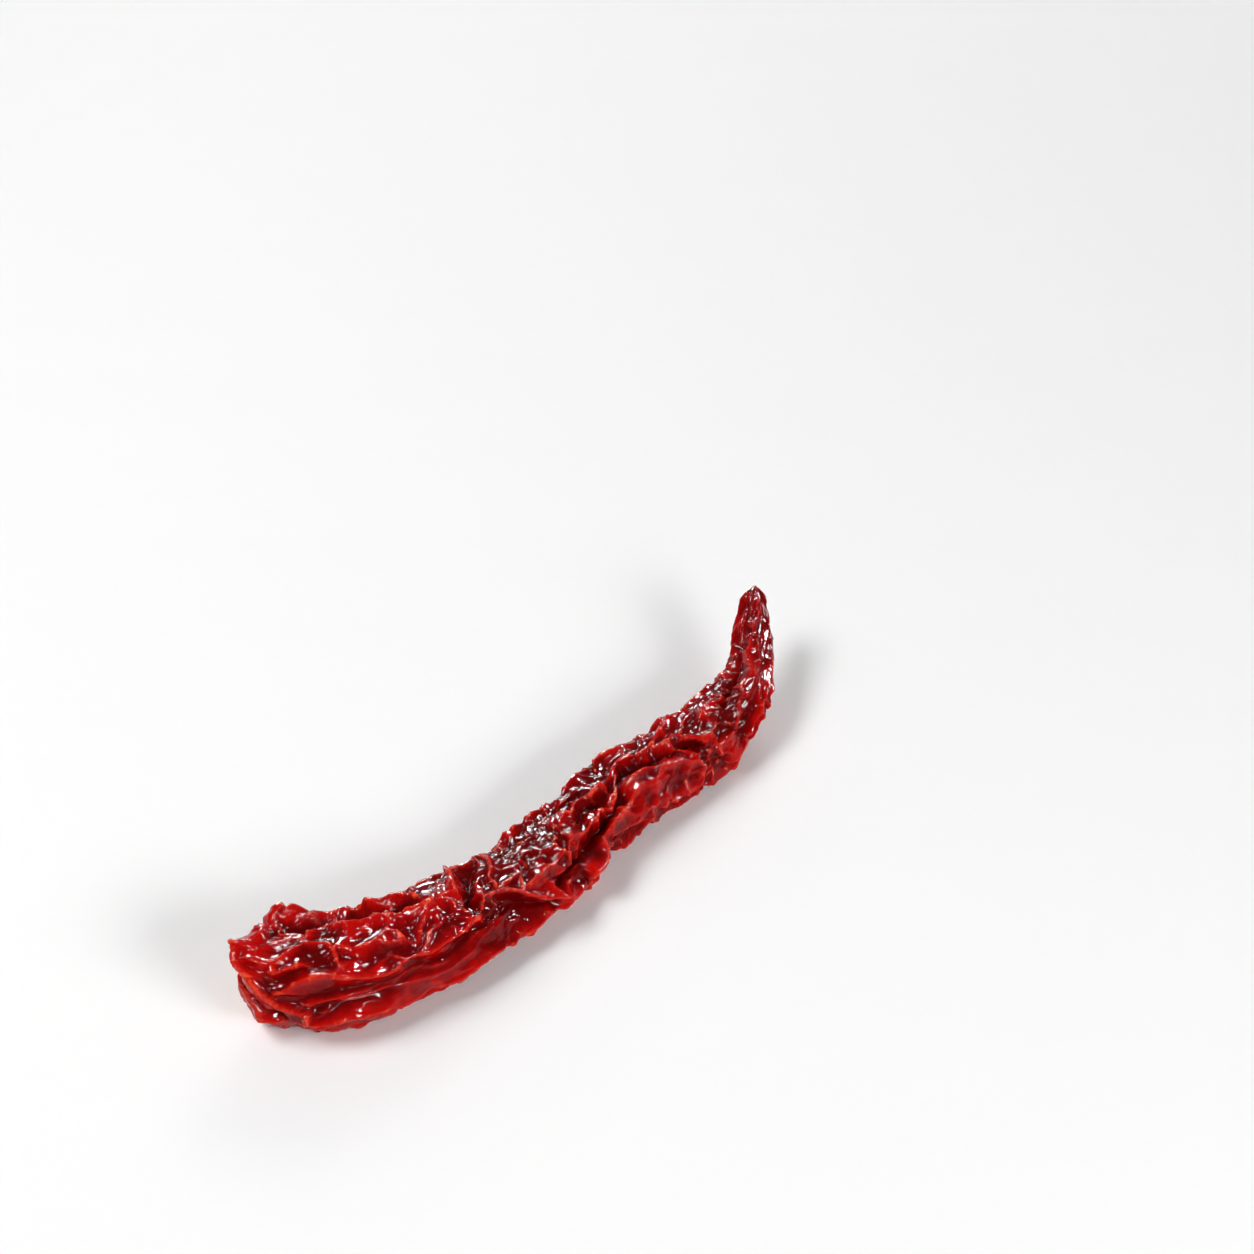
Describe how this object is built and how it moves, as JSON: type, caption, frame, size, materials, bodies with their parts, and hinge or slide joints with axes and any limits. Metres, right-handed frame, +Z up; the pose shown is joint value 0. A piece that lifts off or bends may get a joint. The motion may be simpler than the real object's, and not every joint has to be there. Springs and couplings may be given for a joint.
{
  "type": "byadgi chili pepper",
  "caption": "Dried byadgi chili pod without its stalk, long and crumpled, blunt at the stem end and drawn to a curling tip, lying on its side.",
  "frame": {"origin": "under the middle of the pod's box, on the surface that it lies on", "axes": "+X from the stem end towards the tip, +Y to the far side as seen in the picture, +Z up"},
  "size_m": [0.1327, 0.032, 0.0171],
  "materials": {
    "pod_skin": "glossy, crumpled deep red skin with paler crest lines and a cream stalk scar"
  },
  "bodies": {
    "root": {"pod": "pod_skin"}
  },
  "joints": []
}
